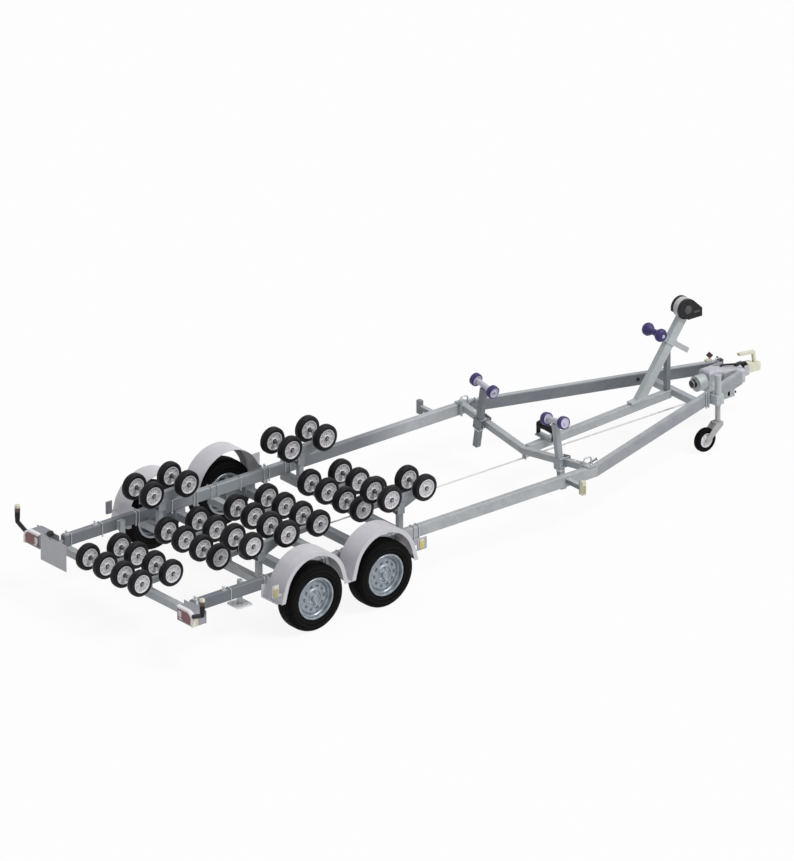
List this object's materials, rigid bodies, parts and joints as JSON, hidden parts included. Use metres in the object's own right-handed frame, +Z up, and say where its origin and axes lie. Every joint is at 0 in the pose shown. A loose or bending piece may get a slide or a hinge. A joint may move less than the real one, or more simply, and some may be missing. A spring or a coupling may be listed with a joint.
{
  "type": "boat trailer",
  "caption": "Tandem-axle boat trailer with V drawbar, rocking roller cradles, winch post, coupling, jockey wheel and support legs.",
  "frame": {"origin": "on the ground, in the middle of the trailer's length and width", "axes": "+X towards the coupling, +Y to the trailer's left, +Z up"},
  "size_m": [7.521, 2.642, 1.334],
  "materials": {
    "galvanised": "hot-dip galvanised, satin",
    "mudguard": "satin light grey",
    "rim": "silver, satin",
    "tyre": "matt",
    "roller_rubber": "matt",
    "blue_rubber": "satin",
    "black_plastic": "matt",
    "coupling_paint": "satin cream",
    "lamp": "gloss red"
  },
  "bodies": {
    "frame": {"main_beam_left": "galvanised", "main_beam_right": "galvanised", "cross_tubes": "galvanised", "centre_beam": "galvanised", "axles": "galvanised", "roller_stands": "galvanised", "mudguard_left": "mudguard", "mudguard_right": "mudguard", "bow_posts": "galvanised", "winch_post": "galvanised", "winch": "black_plastic", "coupling_housing": "galvanised", "coupling_head": "coupling_paint", "coupling_bellows": "black_plastic", "stand_sleeves": "galvanised", "lamp_carriers": "galvanised", "rear_lamps": "lamp", "marker_arms": "black_plastic"},
    "wheel_rear_left": {"tyre_rear_left": "tyre", "rim_rear_left": "rim"},
    "wheel_rear_right": {"tyre_rear_right": "tyre", "rim_rear_right": "rim"},
    "wheel_front_left": {"tyre_front_left": "tyre", "rim_front_left": "rim"},
    "wheel_front_right": {"tyre_front_right": "tyre", "rim_front_right": "rim"},
    "cradle_a": {"cradle_a_rocker": "galvanised"},
    "cradle_a_row_rear": {"cradle_a_rollers_rear": "roller_rubber"},
    "cradle_a_row_front": {"cradle_a_rollers_front": "roller_rubber"},
    "cradle_b": {"cradle_b_rocker": "galvanised"},
    "cradle_b_row_rear": {"cradle_b_rollers_rear": "roller_rubber"},
    "cradle_b_row_front": {"cradle_b_rollers_front": "roller_rubber"},
    "wing_b_left": {"wing_b_left_rocker": "galvanised"},
    "wing_b_left_row_rear": {"wing_b_left_rollers_rear": "roller_rubber"},
    "wing_b_left_row_front": {"wing_b_left_rollers_front": "roller_rubber"},
    "wing_b_right": {"wing_b_right_rocker": "galvanised"},
    "wing_b_right_row_rear": {"wing_b_right_rollers_rear": "roller_rubber"},
    "wing_b_right_row_front": {"wing_b_right_rollers_front": "roller_rubber"},
    "cradle_c": {"cradle_c_rocker": "galvanised"},
    "cradle_c_row_rear": {"cradle_c_rollers_rear": "roller_rubber"},
    "cradle_c_row_front": {"cradle_c_rollers_front": "roller_rubber"},
    "cradle_d": {"cradle_d_rocker": "galvanised"},
    "cradle_d_row_rear": {"cradle_d_rollers_rear": "roller_rubber"},
    "cradle_d_row_front": {"cradle_d_rollers_front": "roller_rubber"},
    "wing_d_left": {"wing_d_left_rocker": "galvanised"},
    "wing_d_left_row_rear": {"wing_d_left_rollers_rear": "roller_rubber"},
    "wing_d_left_row_front": {"wing_d_left_rollers_front": "roller_rubber"},
    "wing_d_right": {"wing_d_right_rocker": "galvanised"},
    "wing_d_right_row_rear": {"wing_d_right_rollers_rear": "roller_rubber"},
    "wing_d_right_row_front": {"wing_d_right_rollers_front": "roller_rubber"},
    "bow_rollers_left": {"bow_rollers_left": "blue_rubber"},
    "bow_rollers_right": {"bow_rollers_right": "blue_rubber"},
    "keel_roller": {"keel_roller": "roller_rubber"},
    "bow_stop_roller": {"bow_stop_roller": "blue_rubber"},
    "jockey_tube": {"jockey_tube": "galvanised"},
    "jockey_fork": {"jockey_fork": "galvanised"},
    "jockey_wheel": {"jockey_wheel": "roller_rubber"},
    "support_leg_left": {"support_leg_left": "galvanised"},
    "support_leg_right": {"support_leg_right": "galvanised"}
  },
  "joints": [
    {"name": "wheel_rear_left_spin", "type": "hinge", "parent": "frame", "child": "wheel_rear_left", "pos_m": [-2.3305, 1.124, 0.3145], "axis": [0, 1, 0], "continuous": true},
    {"name": "wheel_rear_right_spin", "type": "hinge", "parent": "frame", "child": "wheel_rear_right", "pos_m": [-2.3305, -1.124, 0.3145], "axis": [0, 1, 0], "continuous": true},
    {"name": "wheel_front_left_spin", "type": "hinge", "parent": "frame", "child": "wheel_front_left", "pos_m": [-1.5355, 1.124, 0.3145], "axis": [0, 1, 0], "continuous": true},
    {"name": "wheel_front_right_spin", "type": "hinge", "parent": "frame", "child": "wheel_front_right", "pos_m": [-1.5355, -1.124, 0.3145], "axis": [0, 1, 0], "continuous": true},
    {"name": "cradle_a_rock", "type": "hinge", "parent": "frame", "child": "cradle_a", "pos_m": [-3.4615, 0, 0.457], "axis": [0, 1, 0], "range_deg": [-18, 18]},
    {"name": "cradle_a_row_rear_spin", "type": "hinge", "parent": "cradle_a", "child": "cradle_a_row_rear", "pos_m": [-3.6365, 0, 0.545], "axis": [0, 1, 0], "continuous": true},
    {"name": "cradle_a_row_front_spin", "type": "hinge", "parent": "cradle_a", "child": "cradle_a_row_front", "pos_m": [-3.2865, 0, 0.545], "axis": [0, 1, 0], "continuous": true},
    {"name": "cradle_b_rock", "type": "hinge", "parent": "frame", "child": "cradle_b", "pos_m": [-2.5745, 0, 0.457], "axis": [0, 1, 0], "range_deg": [-18, 18]},
    {"name": "cradle_b_row_rear_spin", "type": "hinge", "parent": "cradle_b", "child": "cradle_b_row_rear", "pos_m": [-2.7495, 0, 0.545], "axis": [0, 1, 0], "continuous": true},
    {"name": "cradle_b_row_front_spin", "type": "hinge", "parent": "cradle_b", "child": "cradle_b_row_front", "pos_m": [-2.3995, 0, 0.545], "axis": [0, 1, 0], "continuous": true},
    {"name": "wing_b_left_rock", "type": "hinge", "parent": "frame", "child": "wing_b_left", "pos_m": [-2.5485, 0.695, 0.66], "axis": [0, 1, 0], "range_deg": [-18, 18]},
    {"name": "wing_b_left_row_rear_spin", "type": "hinge", "parent": "wing_b_left", "child": "wing_b_left_row_rear", "pos_m": [-2.7465, 0.695, 0.81], "axis": [0, 1, 0], "continuous": true},
    {"name": "wing_b_left_row_front_spin", "type": "hinge", "parent": "wing_b_left", "child": "wing_b_left_row_front", "pos_m": [-2.3505, 0.695, 0.81], "axis": [0, 1, 0], "continuous": true},
    {"name": "wing_b_right_rock", "type": "hinge", "parent": "frame", "child": "wing_b_right", "pos_m": [-2.5485, -0.695, 0.66], "axis": [0, 1, 0], "range_deg": [-18, 18]},
    {"name": "wing_b_right_row_rear_spin", "type": "hinge", "parent": "wing_b_right", "child": "wing_b_right_row_rear", "pos_m": [-2.7465, -0.695, 0.81], "axis": [0, 1, 0], "continuous": true},
    {"name": "wing_b_right_row_front_spin", "type": "hinge", "parent": "wing_b_right", "child": "wing_b_right_row_front", "pos_m": [-2.3505, -0.695, 0.81], "axis": [0, 1, 0], "continuous": true},
    {"name": "cradle_c_rock", "type": "hinge", "parent": "frame", "child": "cradle_c", "pos_m": [-1.7905, 0, 0.457], "axis": [0, 1, 0], "range_deg": [-18, 18]},
    {"name": "cradle_c_row_rear_spin", "type": "hinge", "parent": "cradle_c", "child": "cradle_c_row_rear", "pos_m": [-1.9655, 0, 0.545], "axis": [0, 1, 0], "continuous": true},
    {"name": "cradle_c_row_front_spin", "type": "hinge", "parent": "cradle_c", "child": "cradle_c_row_front", "pos_m": [-1.6155, 0, 0.545], "axis": [0, 1, 0], "continuous": true},
    {"name": "cradle_d_rock", "type": "hinge", "parent": "frame", "child": "cradle_d", "pos_m": [-0.9495, 0, 0.457], "axis": [0, 1, 0], "range_deg": [-18, 18]},
    {"name": "cradle_d_row_rear_spin", "type": "hinge", "parent": "cradle_d", "child": "cradle_d_row_rear", "pos_m": [-1.1245, 0, 0.545], "axis": [0, 1, 0], "continuous": true},
    {"name": "cradle_d_row_front_spin", "type": "hinge", "parent": "cradle_d", "child": "cradle_d_row_front", "pos_m": [-0.7745, 0, 0.545], "axis": [0, 1, 0], "continuous": true},
    {"name": "wing_d_left_rock", "type": "hinge", "parent": "frame", "child": "wing_d_left", "pos_m": [-0.9775, 0.695, 0.66], "axis": [0, 1, 0], "range_deg": [-18, 18]},
    {"name": "wing_d_left_row_rear_spin", "type": "hinge", "parent": "wing_d_left", "child": "wing_d_left_row_rear", "pos_m": [-1.1755, 0.695, 0.81], "axis": [0, 1, 0], "continuous": true},
    {"name": "wing_d_left_row_front_spin", "type": "hinge", "parent": "wing_d_left", "child": "wing_d_left_row_front", "pos_m": [-0.7795, 0.695, 0.81], "axis": [0, 1, 0], "continuous": true},
    {"name": "wing_d_right_rock", "type": "hinge", "parent": "frame", "child": "wing_d_right", "pos_m": [-0.9775, -0.695, 0.66], "axis": [0, 1, 0], "range_deg": [-18, 18]},
    {"name": "wing_d_right_row_rear_spin", "type": "hinge", "parent": "wing_d_right", "child": "wing_d_right_row_rear", "pos_m": [-1.1755, -0.695, 0.81], "axis": [0, 1, 0], "continuous": true},
    {"name": "wing_d_right_row_front_spin", "type": "hinge", "parent": "wing_d_right", "child": "wing_d_right_row_front", "pos_m": [-0.7795, -0.695, 0.81], "axis": [0, 1, 0], "continuous": true},
    {"name": "bow_rollers_left_spin", "type": "hinge", "parent": "frame", "child": "bow_rollers_left", "pos_m": [0.9835, 0.49257, 0.84062], "axis": [0, 0.9854, 0.1703], "continuous": true},
    {"name": "bow_rollers_right_spin", "type": "hinge", "parent": "frame", "child": "bow_rollers_right", "pos_m": [0.9835, -0.49257, 0.84062], "axis": [0, -0.9854, 0.1703], "continuous": true},
    {"name": "keel_roller_spin", "type": "hinge", "parent": "frame", "child": "keel_roller", "pos_m": [1.2895, 0, 0.522], "axis": [0, 1, 0], "continuous": true},
    {"name": "bow_stop_roller_spin", "type": "hinge", "parent": "frame", "child": "bow_stop_roller", "pos_m": [2.53798, 0, 1.0914], "axis": [0, 1, 0], "continuous": true},
    {"name": "jockey_raise", "type": "slide", "parent": "frame", "child": "jockey_tube", "axis": [0, 0, 1], "range_m": [0, 0.14]},
    {"name": "jockey_swivel", "type": "hinge", "parent": "jockey_tube", "child": "jockey_fork", "pos_m": [2.9415, -0.4, 0.252], "axis": [0, 0, 1], "continuous": true},
    {"name": "jockey_wheel_spin", "type": "hinge", "parent": "jockey_fork", "child": "jockey_wheel", "pos_m": [2.7925, -0.4, 0.112], "axis": [0, 1, 0], "continuous": true},
    {"name": "support_leg_left_lower", "type": "slide", "parent": "frame", "child": "support_leg_left", "axis": [0, 0, -1], "range_m": [0, 0.16]},
    {"name": "support_leg_right_lower", "type": "slide", "parent": "frame", "child": "support_leg_right", "axis": [0, 0, -1], "range_m": [0, 0.16]}
  ]
}
